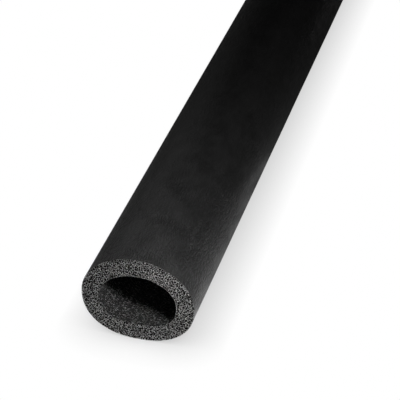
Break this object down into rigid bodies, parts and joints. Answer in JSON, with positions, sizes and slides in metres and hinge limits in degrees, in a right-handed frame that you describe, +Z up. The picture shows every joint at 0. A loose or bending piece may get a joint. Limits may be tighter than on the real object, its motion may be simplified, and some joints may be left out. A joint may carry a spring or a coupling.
{
  "type": "pipe insulation tube",
  "caption": "Straight length of soft black foam rubber pipe lagging: a thick-walled oval tube, open at both cut ends, that sleeves over a pipe to insulate it.",
  "frame": {"origin": "on the floor, under the middle of the tube's length", "axes": "+Z up, +Y along the tube from the near cut face to the far one, +X across the tube"},
  "size_m": [0.0804, 1, 0.067],
  "materials": {
    "foam_rubber": "matte"
  },
  "bodies": {
    "root": {"insulation_tube": "foam_rubber"}
  },
  "joints": []
}
